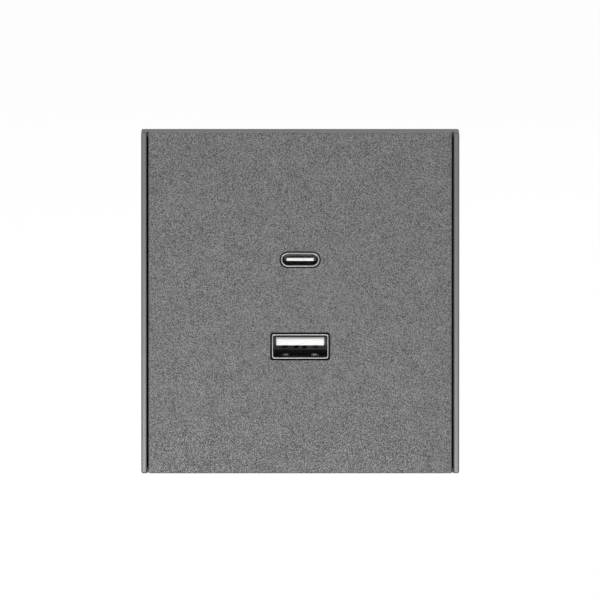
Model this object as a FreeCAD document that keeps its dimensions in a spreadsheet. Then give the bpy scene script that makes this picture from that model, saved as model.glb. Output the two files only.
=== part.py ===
import FreeCAD, Part

import os
import re

import Sketcher

# A wall charger with two USB outlets for a 60 mm flush box, in millimetres.
# X runs to the right and Z up. The wall is the plane y = 0, the device's axis is the Y axis,
# and the front faces -Y. A level is a distance in front of the wall, negative inside it.

SIZES = {
    # Front plate and the frame with the two flanks
    "overall_width": 73.5,
    "overall_height": 79.1,
    "front_depth": 9.5,
    "frame_wall": 1.15,
    "frame_corner": 0.5,
    "frame_web": 1.2,
    "flank_edge": 0.25,
    "web_clearance": 0.2,
    "plate_thickness": 2.0,
    "plate_corner": 0.4,
    "plate_edge": 0.2,
    "side_slot": 0.55,
    "rib_height": 1.5,
    "rib_width": 1.2,
    "rib_clearance": 0.2,
    "snap_margin": 3.0,
    "snap_up": 6.0,
    "snap_width": 4.0,
    "snap_leg": 1.2,
    "snap_hook": 0.6,
    "snap_nose": 1.6,
    "snap_land": 0.4,
    "snap_clearance": 0.1,
    "snap_window_gap": 0.15,
    # Support bracket and the box screws that hold it
    "bracket_sheet": 1.0,
    "bracket_side_gap": 0.1,
    "bracket_end_gap": 2.9,
    "bracket_corner": 3.0,
    "bracket_bore": 52.0,
    "bracket_opening": 45.0,
    "box_slot_margin": 5.5,
    "box_slot_width": 3.8,
    "box_slot_length": 6.6,
    "box_screw_room": 10.0,
    # Black cover of the insert
    "cover_size": 50.0,
    "cover_corner": 5.0,
    "cover_level": 4.7,
    "cover_skin": 1.5,
    "cover_wall": 2.0,
    "lip_width": 1.5,
    "lip_thickness": 1.2,
    "collar_recess": 1.0,
    "collar_gap": 0.04,
    "post_diameter": 5.0,
    # Screws that close the insert
    "screw_place": 16.0,
    "screw_diameter": 2.5,
    "screw_hole_clearance": 0.1,
    "screw_thread_clearance": 0.03,
    "screw_length": 16.0,
    "screw_head": 4.4,
    "screw_head_height": 1.2,
    "screw_recess_length": 2.4,
    "screw_recess_width": 0.6,
    "screw_recess_depth": 0.7,
    # The two outlets
    "outlet_spacing": 20.1,
    "shell_length": 14.0,
    "shell_clearance": 0.05,
    "wide_shell_width": 13.1,
    "wide_shell_height": 5.7,
    "wide_shell_corner": 0.6,
    "wide_shell_wall": 0.3,
    "wide_collar": 0.3,
    "small_shell_width": 8.94,
    "small_shell_height": 3.26,
    "small_shell_wall": 0.33,
    "small_collar": 0.2,
    "finger_across": 3.4,
    "finger_width": 1.9,
    "finger_window_gap": 0.35,
    "finger_front": 1.6,
    "finger_length": 6.6,
    "finger_rise": 2.2,
    "finger_bump": 0.55,
    "finger_sheet": 0.25,
    "wide_tongue_width": 11.1,
    "wide_tongue_thickness": 1.84,
    "wide_tongue_bottom": 0.13,
    "wide_tongue_recess": 1.2,
    "wide_tongue_bevel": 0.35,
    "small_tongue_width": 6.35,
    "small_tongue_thickness": 0.7,
    "small_tongue_recess": 0.7,
    "small_tongue_corner": 0.16,
    "small_root_width": 7.4,
    "small_root_thickness": 1.4,
    "small_root_length": 4.0,
    "insulator_base": 5.0,
    "insulator_gap": 0.05,
    "wide_contact_width": 1.0,
    "wide_contact_sheet": 0.25,
    "wide_contact_inner": 1.0,
    "wide_contact_outer": 3.5,
    "wide_contact_bump": 0.45,
    "wide_contact_inset": 0.8,
    "wide_contact_rise": 1.85,
    "wide_groove_gap": 0.05,
    "wide_groove_depth": 0.32,
    "wide_groove_bridge": 0.5,
    "small_contact_pitch": 0.5,
    "small_contact_width": 0.25,
    "small_contact_height": 0.07,
    "small_contact_length": 3.2,
    # Rear housing
    "housing_diameter": 54.0,
    "housing_flat": 46.0,
    "housing_wall": 1.6,
    "housing_edge": 1.0,
    "housing_flange": 1.5,
    "housing_flange_reach": 3.5,
    "boss_diameter": 6.0,
    "boss_hole_depth": 8.5,
    "shelf_width": 1.4,
    "shelf_length": 5.0,
    "shelf_up": 3.0,
    # Circuit boards
    "board_thickness": 1.6,
    "board_gap": 0.3,
    "board_spacing": 10.9,
    # Terminals for the mains wires
    "terminal_depth": 12.4,
    "terminal_width": 25.2,
    "terminal_height": 11.6,
    "terminal_drop": 14.6,
    "terminal_wall": 1.2,
    "terminal_lid": 2.8,
    "terminal_window_gap": 0.15,
    "pole_across": 6.3,
    "chamber_width": 9.0,
    "wire_hole": 2.8,
    "wire_spacing": 4.6,
    "wire_funnel": 0.4,
    "busbar_sheet": 0.8,
    "busbar_gap": 0.2,
    "busbar_leg": 1.4,
    "leg_hole_gap": 0.1,
    "leaf_sheet": 0.4,
    "leaf_width": 7.6,
    "leaf_bend": 1.1,
    "leaf_base": 5.0,
    "leaf_start": 0.4,
    "leaf_angle": 52.0,
    "leaf_tip_gap": 0.1,
    "button_slot_height": 2.1,
    "button_slot_width": 6.3,
    "button_bridge": 0.7,
    "button_gap": 0.15,
    "button_leaf_gap": 0.25,
    "button_proud": 0.6,
    "button_flange": 8.0,
    "button_flange_thickness": 1.2,
    "button_notch_width": 3.6,
    "button_notch_height": 0.7,
    "button_notch_depth": 0.5,
    # Parts that stand on the boards; across and up are places of their middles
    "link_pin": 0.64,
    "link_pin_pitch": 2.54,
    "link_pin_across": 18.2,
    "link_pin_up": -6.5,
    "link_base_height": 2.5,
    "link_pin_gap": 0.05,
    "transformer_across": -5.0,
    "transformer_up": 5.0,
    "transformer_gap": 0.9,
    "core_length": 16.0,
    "core_width": 13.0,
    "core_thickness": 4.8,
    "core_leg": 3.6,
    "core_side": 1.9,
    "core_gap": 0.15,
    "bobbin_wall": 0.7,
    "bobbin_flange_height": 9.6,
    "bobbin_rail": 2.6,
    "winding_depth": 1.6,
    "output_can_diameter": 6.3,
    "output_can_gap": 1.9,
    "output_can_across": 9.5,
    "output_can_up": 10.5,
    "output_can_step": 7.2,
    "input_can_diameter": 9.0,
    "input_can_gap": 0.8,
    "input_can_across": 5.6,
    "input_can_up": 3.4,
    "choke_across": -10.5,
    "choke_up": -10.0,
    "choke_width": 7.6,
    "choke_waist": 4.4,
    "choke_gap": 3.5,
    "choke_flange": 1.2,
    "choke_wire_gap": 0.6,
    "disc_across": 1.0,
    "disc_up": -9.0,
    "disc_diameter": 7.0,
    "disc_thickness": 3.2,
    "fuse_across": 15.2,
    "fuse_up": -3.6,
    "fuse_diameter": 3.6,
    "fuse_length": 9.0,
    "fuse_cap": 1.8,
    "fuse_neck": 0.2,
    "varistor_across": -15.0,
    "varistor_up": -4.0,
    "varistor_diameter": 7.0,
    "varistor_thickness": 3.6,
    "film_capacitor_up": 14.2,
    "film_capacitor_width": 13.0,
    "film_capacitor_height": 6.0,
    "film_capacitor_gap": 1.3,
    "rectifier_across": 15.2,
    "rectifier_up": 4.0,
    "rectifier_width": 4.0,
    "rectifier_height": 4.6,
    "rectifier_thickness": 1.6,
    "optocoupler_across": 9.5,
    "optocoupler_up": -8.0,
    "optocoupler_width": 6.4,
    "optocoupler_height": 4.6,
    "optocoupler_thickness": 3.2,
    "switch_chip_across": -13.0,
    "switch_chip_up": 10.0,
    "outlet_chip_up": 14.5,
    "chip_width": 3.9,
    "chip_height": 4.9,
    "chip_thickness": 1.4,
    "chip_leg_reach": 0.9,
    "chip_leg_width": 0.45,
    "chip_leg_sheet": 0.2,
    "chip_leg_pitch": 1.27,
    "wide_leg_pitch": 2.54,
}

doc = FreeCAD.newDocument("usb_wall_outlet")
sheet = doc.addObject("Spreadsheet::Sheet", "Sizes")
for row, (alias, number) in enumerate(SIZES.items(), start=1):
    sheet.set(f"A{row}", str(number))
    sheet.setAlias(f"A{row}", alias)
doc.recompute()

# Levels and places that follow from the sizes
PLATE_BACK = "(front_depth - plate_thickness)"
COVER_INNER = "(cover_level - cover_skin)"
WEB_FRONT = "(bracket_sheet + frame_web)"
PORT_BOARD_FRONT = "(front_depth - shell_length)"
PORT_BOARD_BACK = f"({PORT_BOARD_FRONT} - board_thickness)"
POWER_BOARD_FRONT = f"({PORT_BOARD_BACK} - board_spacing)"
POWER_BOARD_BACK = f"({POWER_BOARD_FRONT} - board_thickness)"
HOUSING_REAR = f"({POWER_BOARD_BACK} - terminal_depth)"
HOUSING_FLOOR = f"({HOUSING_REAR} + housing_wall)"
TERMINAL_SPLIT = f"({HOUSING_REAR} + terminal_lid)"
CHAMBER_END = f"({POWER_BOARD_BACK} - terminal_wall)"
PLATE_WIDTH = "(overall_width - 2 * frame_wall - 2 * side_slot)"
FRAME_INNER_WIDTH = "(overall_width - 2 * frame_wall)"
FRAME_INNER_HEIGHT = "(overall_height - 2 * frame_wall)"
BRACKET_WIDTH = f"({FRAME_INNER_WIDTH} - 2 * bracket_side_gap)"
BRACKET_HEIGHT = f"({FRAME_INNER_HEIGHT} - 2 * bracket_end_gap)"
SLOT_ACROSS = f"({BRACKET_WIDTH} / 2 - box_slot_margin)"
SLOT_UP = f"({BRACKET_HEIGHT} / 2 - box_slot_margin)"
SNAP_ACROSS = "(cover_size / 2 - cover_wall - snap_margin)"
TRANSFORMER_LIFT = "(board_spacing - transformer_gap - bobbin_flange_height / 2)"
BOARD_FLAT = "(housing_flat / 2 - housing_wall - board_gap)"
BOARD_REACH = "(housing_diameter / 2 - housing_wall - board_gap)"
BOARD_EDGE = f"sqrt({BOARD_REACH} * {BOARD_REACH} - {BOARD_FLAT} * {BOARD_FLAT})"
WIDE_UP = "(-outlet_spacing / 2)"
SMALL_UP = "(outlet_spacing / 2)"
WIDE_BORE_WIDTH = "(wide_shell_width + 2 * shell_clearance)"
WIDE_BORE_HEIGHT = "(wide_shell_height + 2 * shell_clearance)"
WIDE_COLLAR_WIDTH = f"({WIDE_BORE_WIDTH} + 2 * wide_collar)"
WIDE_COLLAR_HEIGHT = f"({WIDE_BORE_HEIGHT} + 2 * wide_collar)"
SMALL_BORE_WIDTH = "(small_shell_width + 2 * shell_clearance)"
SMALL_BORE_HEIGHT = "(small_shell_height + 2 * shell_clearance)"
SMALL_COLLAR_WIDTH = f"({SMALL_BORE_WIDTH} + 2 * small_collar)"
SMALL_COLLAR_HEIGHT = f"({SMALL_BORE_HEIGHT} + 2 * small_collar)"
TERMINAL_BOTTOM = "(-terminal_drop - terminal_height / 2)"
TERMINAL_TOP = "(terminal_height / 2 - terminal_drop)"
CHAMBER_FLOOR = f"({TERMINAL_BOTTOM} + terminal_wall)"
CHAMBER_ROOF = f"({TERMINAL_TOP} - terminal_wall)"
BUSBAR_TOP = f"({CHAMBER_FLOOR} + busbar_sheet)"
WIRE_UP = f"({BUSBAR_TOP} + wire_hole / 2)"
BUTTON_BOTTOM = f"({WIRE_UP} + wire_hole / 2 + button_bridge)"
BUTTON_TOP = f"({BUTTON_BOTTOM} + button_slot_height)"

FRONT = "XZ_Plane"
SIDE = "YZ_Plane"
ABOVE = "XY_Plane"
CORNERS = ((1, 1), (-1, 1), (-1, -1), (1, -1))
SCREWS = ((-1, 1), (1, -1))
WIDE_CONTACTS = ("-wide_contact_outer", "-wide_contact_inner", "wide_contact_inner", "wide_contact_outer")
SMALL_CONTACTS = 12
LINK_PINS = 4
CHIP_LEGS = 4
WIDE_LEGS = 2
TOUCH = 1e-4


def bound(expression):
    """Name the sheet in front of each size in an expression."""
    def named(word):
        return f"Sizes.{word.group()}" if word.group() in SIZES else word.group()
    return re.sub(r"[a-z][a-z_]*", named, expression)


def value(expression):
    """Work out an expression of sizes."""
    return float(sheet.evalExpression(bound(expression)))


def tie(thing, place, expression):
    """Bind one property of an object to an expression of sizes."""
    thing.setExpression(place, bound(expression))


def new_body(name):
    """Start a piece that is built from sketches."""
    body = doc.addObject("PartDesign::Body", name)
    body.Label = name
    return body


def new_sketch(body, name, plane, level="0"):
    """Put a sketch on one of the body's own origin planes, moved along its normal."""
    origin_plane = [item for item in body.Origin.OriginFeatures if item.Role == plane][0]
    sketch = body.newObject("Sketcher::SketchObject", f"{body.Name}_{name}")
    sketch.AttachmentSupport = [(origin_plane, "")]
    sketch.MapMode = "FlatFace"
    tie(sketch, "AttachmentOffset.Base.z", level)
    return sketch


def pin(sketch, kind, geometry, point, expression):
    """Hold one coordinate of a sketch point at an expression."""
    rule = Sketcher.Constraint(kind, -1, 1, geometry, point, value(expression))
    number = sketch.addConstraint(rule)
    tie(sketch, f"Constraints[{number}]", expression)


def add_loop(sketch, steps):
    """Draw a closed outline. A step is where an edge starts; a round edge also gives its centre.

    A fifth item of True makes a round edge run clockwise.
    """
    places = [[value(part) for part in step[:4]] for step in steps]
    ends = []
    for step, here, there in zip(steps, places, places[1:] + places[:1]):
        start = FreeCAD.Vector(here[0], here[1], 0)
        stop = FreeCAD.Vector(there[0], there[1], 0)
        if len(step) == 2:
            geometry = sketch.addGeometry(Part.LineSegment(start, stop))
            ends.append((geometry, 1, 2))
            continue
        clockwise = len(step) == 5 and step[4]
        centre = FreeCAD.Vector(here[2], here[3], 0)
        circle = Part.Circle(centre, FreeCAD.Vector(0, 0, 1), (start - centre).Length)
        first, last = (stop, start) if clockwise else (start, stop)
        arc = Part.ArcOfCircle(circle, circle.parameter(first), circle.parameter(last))
        geometry = sketch.addGeometry(arc)
        ends.append((geometry, 2, 1) if clockwise else (geometry, 1, 2))
        upright = abs(stop.y - start.y) >= abs(stop.x - start.x)
        pin(sketch, "DistanceX" if upright else "DistanceY", geometry, 3, step[2 if upright else 3])
    for step, edge, following in zip(steps, ends, ends[1:] + ends[:1]):
        pin(sketch, "DistanceX", edge[0], edge[1], step[0])
        pin(sketch, "DistanceY", edge[0], edge[1], step[1])
        rule = Sketcher.Constraint("Coincident", edge[0], edge[2], following[0], following[1])
        sketch.addConstraint(rule)


def add_box(sketch, left, bottom, right, top):
    """Draw a rectangle between two corners."""
    add_loop(sketch, [(left, bottom), (right, bottom), (right, top), (left, top)])


def add_round_box(sketch, width, height, radius, across="0", up="0"):
    """Draw a rectangle with round corners about its middle."""
    left, right = f"{across} - ({width}) / 2", f"{across} + ({width}) / 2"
    bottom, top = f"{up} - ({height}) / 2", f"{up} + ({height}) / 2"
    inner_left, inner_right = f"{left} + {radius}", f"{right} - {radius}"
    inner_bottom, inner_top = f"{bottom} + {radius}", f"{top} - {radius}"
    add_loop(sketch, [
        (inner_left, bottom),
        (inner_right, bottom, inner_right, inner_bottom),
        (right, inner_bottom),
        (right, inner_top, inner_right, inner_top),
        (inner_right, top),
        (inner_left, top, inner_left, inner_top),
        (left, inner_top),
        (left, inner_bottom, inner_left, inner_bottom),
    ])


def add_obround(sketch, length, width, across="0", up="0", upright=False):
    """Draw a slot with half-round ends about its middle."""
    reach = f"(({length}) - ({width})) / 2"
    half = f"({width}) / 2"
    if upright:
        low, high = f"{up} - {reach}", f"{up} + {reach}"
        left, right = f"{across} - {half}", f"{across} + {half}"
        add_loop(sketch, [
            (right, low), (right, high, across, high), (left, high), (left, low, across, low),
        ])
        return
    left, right = f"{across} - {reach}", f"{across} + {reach}"
    low, high = f"{up} - {half}", f"{up} + {half}"
    add_loop(sketch, [(left, low), (right, low, right, up), (right, high), (left, high, left, up)])


def add_circle(sketch, radius, across="0", up="0"):
    """Draw a circle."""
    centre = FreeCAD.Vector(value(across), value(up), 0)
    circle = Part.Circle(centre, FreeCAD.Vector(0, 0, 1), value(radius))
    geometry = sketch.addGeometry(circle)
    pin(sketch, "DistanceX", geometry, 3, across)
    pin(sketch, "DistanceY", geometry, 3, up)
    number = sketch.addConstraint(Sketcher.Constraint("Radius", geometry, value(radius)))
    tie(sketch, f"Constraints[{number}]", radius)


def add_trimmed_circle(sketch, radius, half_flat):
    """Draw a circle about the axis with four flats."""
    corner = f"sqrt(({radius}) * ({radius}) - ({half_flat}) * ({half_flat}))"
    add_loop(sketch, [
        (f"-({half_flat})", f"{corner}"),
        (f"-({half_flat})", f"-{corner}", "0", "0"),
        (f"-{corner}", f"-({half_flat})"),
        (corner, f"-({half_flat})", "0", "0"),
        (half_flat, f"-{corner}"),
        (half_flat, corner, "0", "0"),
        (corner, half_flat),
        (f"-{corner}", half_flat, "0", "0"),
    ])


def add_cut_square(sketch, half, edge):
    """Draw a square about the axis with its corners cut off; edge is half of what is left of a side."""
    add_loop(sketch, [
        (f"-{half}", edge), (f"-{half}", f"-{edge}"), (f"-{edge}", f"-{half}"), (edge, f"-{half}"),
        (half, f"-{edge}"), (half, edge), (edge, half), (f"-{edge}", half),
    ])


def pad(body, sketch, length, both_ways=False):
    """Raise a sketch along its normal, which is forward on the front plane."""
    feature = body.newObject("PartDesign::Pad", f"{sketch.Name}_pad")
    feature.Profile = sketch
    tie(feature, "Length", length)
    if both_ways:
        feature.SideType = "Symmetric"
    sketch.Visibility = False
    return feature


def cut(body, sketch, length, forward=False):
    """Sink a sketch against its normal, which is backward on the front plane, or along it."""
    feature = body.newObject("PartDesign::Pocket", f"{sketch.Name}_cut")
    feature.Profile = sketch
    feature.Reversed = forward
    tie(feature, "Length", length)
    sketch.Visibility = False
    return feature


def turn(body, sketch):
    """Turn a sketch about its upright axis."""
    feature = body.newObject("PartDesign::Revolution", f"{sketch.Name}_turn")
    feature.Profile = sketch
    feature.ReferenceAxis = (sketch, ["V_Axis"])
    feature.Angle = 360
    sketch.Visibility = False
    return feature


def soften(body, kind, size, wanted):
    """Round (Fillet) or bevel (Chamfer) the edges of the body so far that pass a test."""
    doc.recompute()
    tip = body.Tip
    edges = [f"Edge{number}" for number, edge in enumerate(tip.Shape.Edges, start=1) if wanted(edge)]
    feature = body.newObject(f"PartDesign::{kind}", f"{body.Name}_{kind.lower()}")
    feature.Base = (tip, edges)
    tie(feature, "Radius" if kind == "Fillet" else "Size", size)
    return feature


def at_level(edge, level):
    """Tell whether an edge lies flat at one level."""
    box = edge.BoundBox
    return abs(box.YMin + value(level)) < TOUCH and abs(box.YMax + value(level)) < TOUCH


def add_middle_box(sketch, width, height, across="0", up="0"):
    """Draw a rectangle about its middle."""
    add_box(sketch, f"{across} - ({width}) / 2", f"{up} - ({height}) / 2",
            f"{across} + ({width}) / 2", f"{up} + ({height}) / 2")


def add_screw_circles(sketch, radius):
    """Draw a circle about the place of each screw."""
    for side, rise in SCREWS:
        add_circle(sketch, radius, f"{side} * screw_place", f"{rise} * screw_place")


def front_plate():
    """The textured plate between the flanks, with the two outlet openings and its snap legs."""
    body = new_body("front_plate")
    face = new_sketch(body, "face", FRONT, PLATE_BACK)
    add_round_box(face, PLATE_WIDTH, "overall_height", "plate_corner")
    pad(body, face, "plate_thickness")
    soften(body, "Chamfer", "plate_edge", lambda edge: at_level(edge, "front_depth"))

    openings = new_sketch(body, "openings", FRONT, "front_depth")
    add_round_box(openings, f"{WIDE_COLLAR_WIDTH} + 2 * collar_gap",
                  f"{WIDE_COLLAR_HEIGHT} + 2 * collar_gap", "wide_shell_corner", up=WIDE_UP)
    add_obround(openings, f"{SMALL_COLLAR_WIDTH} + 2 * collar_gap",
                f"{SMALL_COLLAR_HEIGHT} + 2 * collar_gap", up=SMALL_UP)
    cut(body, openings, "plate_thickness")

    rib = new_sketch(body, "rib", FRONT, f"{PLATE_BACK} - rib_height")
    ring_width = f"({FRAME_INNER_WIDTH} - 2 * side_slot - 2 * rib_clearance)"
    ring_height = f"({FRAME_INNER_HEIGHT} - 2 * rib_clearance)"
    add_middle_box(rib, ring_width, ring_height)
    add_middle_box(rib, f"{ring_width} - 2 * rib_width", f"{ring_height} - 2 * rib_width")
    pad(body, rib, "rib_height")

    inner, outer = f"({SNAP_ACROSS} - snap_leg / 2)", f"({SNAP_ACROSS} + snap_leg / 2)"
    catch = f"({COVER_INNER} - snap_clearance)"
    for side, rise in CORNERS:
        leg = new_sketch(body, f"leg_{side + 1}{rise + 1}", ABOVE, f"{rise} * snap_up - snap_width / 2")
        add_loop(leg, [
            (f"{side} * {inner}", f"-{PLATE_BACK}"),
            (f"{side} * {inner}", f"snap_nose - {catch}"),
            (f"{side} * {outer}", f"snap_nose - {catch}"),
            (f"{side} * ({outer} + snap_hook)", f"-{catch} + snap_land"),
            (f"{side} * ({outer} + snap_hook)", f"-{catch}"),
            (f"{side} * {outer}", f"-{catch}"),
            (f"{side} * {outer}", f"-{PLATE_BACK}"),
        ])
        pad(body, leg, "snap_width")


def flank_frame():
    """The frame round the plate: two flanks as deep as the front, and a web against the bracket."""
    body = new_body("flank_frame")
    ring = new_sketch(body, "ring", FRONT)
    add_round_box(ring, "overall_width", "overall_height", "frame_corner")
    add_middle_box(ring, FRAME_INNER_WIDTH, FRAME_INNER_HEIGHT)
    pad(body, ring, "front_depth")
    seat = new_sketch(body, "plate_seat", FRONT, "front_depth")
    add_middle_box(seat, FRAME_INNER_WIDTH, "overall_height + frame_wall")
    cut(body, seat, "plate_thickness")

    web = new_sketch(body, "web", FRONT, "bracket_sheet")
    add_middle_box(web, FRAME_INNER_WIDTH, FRAME_INNER_HEIGHT)
    add_round_box(web, "cover_size + 2 * web_clearance", "cover_size + 2 * web_clearance",
                  "(cover_corner + web_clearance)")
    pad(body, web, "frame_web")
    room = new_sketch(body, "screw_room", FRONT, WEB_FRONT)
    half = "(box_screw_room / 2)"
    reach, rise = f"({SLOT_ACROSS} + {half})", f"({SLOT_UP} + {half})"
    add_loop(room, [
        (f"-{reach}", f"-{half}"), (f"-{half}", f"-{half}"), (f"-{half}", f"-{rise}"),
        (half, f"-{rise}"), (half, f"-{half}"), (reach, f"-{half}"),
        (reach, half), (half, half), (half, rise),
        (f"-{half}", rise), (f"-{half}", half), (f"-{reach}", half),
    ])
    cut(body, room, "frame_web")
    soften(body, "Chamfer", "flank_edge", lambda edge: at_level(edge, "front_depth"))


def support_bracket():
    """The stamped steel sheet that two box screws hold to the wall."""
    body = new_body("support_bracket")
    blank = new_sketch(body, "blank", FRONT)
    add_round_box(blank, BRACKET_WIDTH, BRACKET_HEIGHT, "bracket_corner")
    add_trimmed_circle(blank, "bracket_bore / 2", "bracket_opening / 2")
    pad(body, blank, "bracket_sheet")
    slots = new_sketch(body, "slots", FRONT, "bracket_sheet")
    for side in (-1, 1):
        add_obround(slots, "box_slot_length", "box_slot_width", across=f"{side} * {SLOT_ACROSS}")
        add_obround(slots, "box_slot_length", "box_slot_width", up=f"{side} * {SLOT_UP}", upright=True)
    cut(body, slots, "bracket_sheet")


def insert_cover():
    """The black front half of the insert, whose collars line the openings of the plate."""
    body = new_body("insert_cover")
    block = new_sketch(body, "block", FRONT, "bracket_sheet")
    add_round_box(block, "cover_size", "cover_size", "cover_corner")
    pad(body, block, "cover_level - bracket_sheet")
    lip = new_sketch(body, "lip", FRONT, WEB_FRONT)
    add_round_box(lip, "(cover_size + 2 * lip_width)", "(cover_size + 2 * lip_width)",
                  "(cover_corner + lip_width)")
    pad(body, lip, "lip_thickness")
    hollow = new_sketch(body, "hollow", FRONT, COVER_INNER)
    add_cut_square(hollow, "(cover_size / 2 - cover_wall)", "(cover_size / 2 - cover_corner)")
    cut(body, hollow, f"{COVER_INNER} - bracket_sheet")

    posts = new_sketch(body, "posts", FRONT, PORT_BOARD_FRONT)
    add_screw_circles(posts, "post_diameter / 2")
    pad(body, posts, f"{COVER_INNER} - {PORT_BOARD_FRONT} + cover_skin / 2")
    collars = new_sketch(body, "collars", FRONT, COVER_INNER)
    add_round_box(collars, WIDE_COLLAR_WIDTH, WIDE_COLLAR_HEIGHT, "wide_shell_corner", up=WIDE_UP)
    add_obround(collars, SMALL_COLLAR_WIDTH, SMALL_COLLAR_HEIGHT, up=SMALL_UP)
    pad(body, collars, f"front_depth - collar_recess - {COVER_INNER}")

    bores = new_sketch(body, "bores", FRONT, "front_depth - collar_recess")
    add_round_box(bores, WIDE_BORE_WIDTH, WIDE_BORE_HEIGHT, "wide_shell_corner", up=WIDE_UP)
    add_obround(bores, SMALL_BORE_WIDTH, SMALL_BORE_HEIGHT, up=SMALL_UP)
    cut(body, bores, f"front_depth - collar_recess - {COVER_INNER} + cover_skin")

    windows = new_sketch(body, "snap_windows", FRONT, "cover_level")
    for side, rise in CORNERS:
        add_middle_box(windows, "snap_leg + 2 * snap_window_gap", "snap_width + 2 * snap_window_gap",
                       across=f"{side} * {SNAP_ACROSS}", up=f"{rise} * snap_up")
    cut(body, windows, "cover_skin")
    holes = new_sketch(body, "screw_holes", FRONT, "cover_level")
    add_screw_circles(holes, "(screw_diameter / 2 + screw_hole_clearance)")
    cut(body, holes, f"cover_level - {PORT_BOARD_FRONT}")


def cover_screws():
    """The two screws that close the insert, with a cross recess in each head."""
    body = new_body("cover_screws")
    heads = new_sketch(body, "heads", FRONT, "cover_level")
    add_screw_circles(heads, "screw_head / 2")
    pad(body, heads, "screw_head_height")
    shanks = new_sketch(body, "shanks", FRONT, "cover_level - screw_length")
    add_screw_circles(shanks, "screw_diameter / 2")
    pad(body, shanks, "screw_length")
    for name, wide, tall in (("bar", "screw_recess_length", "screw_recess_width"),
                             ("post", "screw_recess_width", "screw_recess_length")):
        recess = new_sketch(body, f"recess_{name}", FRONT, "cover_level + screw_head_height")
        for side, rise in SCREWS:
            add_middle_box(recess, wide, tall, f"{side} * screw_place", f"{rise} * screw_place")
        cut(body, recess, "screw_recess_depth")


def rear_housing():
    """The moulded pot in the flush box, with screw bosses, shelves and the terminal window."""
    body = new_body("rear_housing")
    pot = new_sketch(body, "pot", FRONT, HOUSING_REAR)
    add_trimmed_circle(pot, "housing_diameter / 2", "housing_flat / 2")
    pad(body, pot, f"-{HOUSING_REAR}")
    soften(body, "Chamfer", "housing_edge", lambda edge: at_level(edge, HOUSING_REAR))
    flange = new_sketch(body, "flange", FRONT, "-housing_flange")
    add_trimmed_circle(flange, "(cover_size / 2 + housing_flange_reach)", "cover_size / 2")
    pad(body, flange, "housing_flange")
    hollow = new_sketch(body, "hollow", FRONT)
    add_trimmed_circle(hollow, "housing_diameter / 2 - housing_wall", "housing_flat / 2 - housing_wall")
    cut(body, hollow, f"-{HOUSING_FLOOR}")

    bosses = new_sketch(body, "bosses", FRONT, f"{HOUSING_FLOOR} - housing_wall / 2")
    add_screw_circles(bosses, "boss_diameter / 2")
    pad(body, bosses, f"{PORT_BOARD_BACK} - {HOUSING_FLOOR} + housing_wall / 2")
    holes = new_sketch(body, "boss_holes", FRONT, PORT_BOARD_BACK)
    add_screw_circles(holes, "(screw_diameter / 2 + screw_thread_clearance)")
    cut(body, holes, "boss_hole_depth")
    shelves = new_sketch(body, "shelves", FRONT, f"{HOUSING_FLOOR} - housing_wall / 2")
    wall = "(housing_flat / 2 - housing_wall)"
    for side in (-1, 1):
        add_middle_box(shelves, "shelf_width + housing_wall", "shelf_length",
                       f"{side} * ({wall} + housing_wall / 2 - shelf_width / 2)", "shelf_up")
    pad(body, shelves, f"{POWER_BOARD_BACK} - {HOUSING_FLOOR} + housing_wall / 2")

    window = new_sketch(body, "terminal_window", FRONT, HOUSING_REAR)
    add_middle_box(window, "terminal_width + 2 * terminal_window_gap",
                   "terminal_height + 2 * terminal_window_gap", up="-terminal_drop")
    cut(body, window, "housing_wall", forward=True)


def add_side_piece(body, name, steps, across, width):
    """Raise an outline drawn in Y and Z to a width about one place across."""
    sketch = new_sketch(body, name, SIDE, f"{across} - ({width}) / 2")
    add_loop(sketch, steps)
    pad(body, sketch, width)


def usb_a_shell():
    """The folded steel shell of the wide outlet, with two spring fingers in its floor."""
    body = new_body("usb_a_shell")
    tube = new_sketch(body, "tube", FRONT, PORT_BOARD_FRONT)
    add_round_box(tube, "wide_shell_width", "wide_shell_height", "wide_shell_corner", up=WIDE_UP)
    add_round_box(tube, "(wide_shell_width - 2 * wide_shell_wall)",
                  "(wide_shell_height - 2 * wide_shell_wall)", "(wide_shell_corner - wide_shell_wall)",
                  up=WIDE_UP)
    pad(body, tube, "shell_length")

    floor = f"({WIDE_UP} - wide_shell_height / 2)"
    tip = "(finger_front - front_depth)"
    root = f"({tip} + finger_length)"
    windows = new_sketch(body, "windows", ABOVE, floor)
    for side in (-1, 1):
        middle, half = f"{side} * finger_across", "(finger_width / 2 + finger_window_gap)"
        add_box(windows, f"{middle} - {half}", f"{tip} - finger_window_gap", f"{middle} + {half}", root)
    cut(body, windows, "wide_shell_wall", forward=True)
    bend = f"({tip} + finger_rise)"
    for side in (-1, 1):
        add_side_piece(body, f"finger_{side + 1}", [
            (f"{root} + finger_window_gap", floor),
            (f"{root} + finger_window_gap", f"{floor} + finger_sheet"),
            (root, f"{floor} + finger_sheet"),
            (f"{bend} + finger_sheet", f"{floor} + finger_sheet + finger_bump"),
            (f"{bend} - finger_sheet", f"{floor} + finger_sheet + finger_bump"),
            (tip, f"{floor} + finger_sheet"),
            (tip, floor),
            (f"{bend} - finger_sheet", f"{floor} + finger_bump"),
            (f"{bend} + finger_sheet", f"{floor} + finger_bump"),
            (root, floor),
        ], f"{side} * finger_across", "finger_width")


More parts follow.
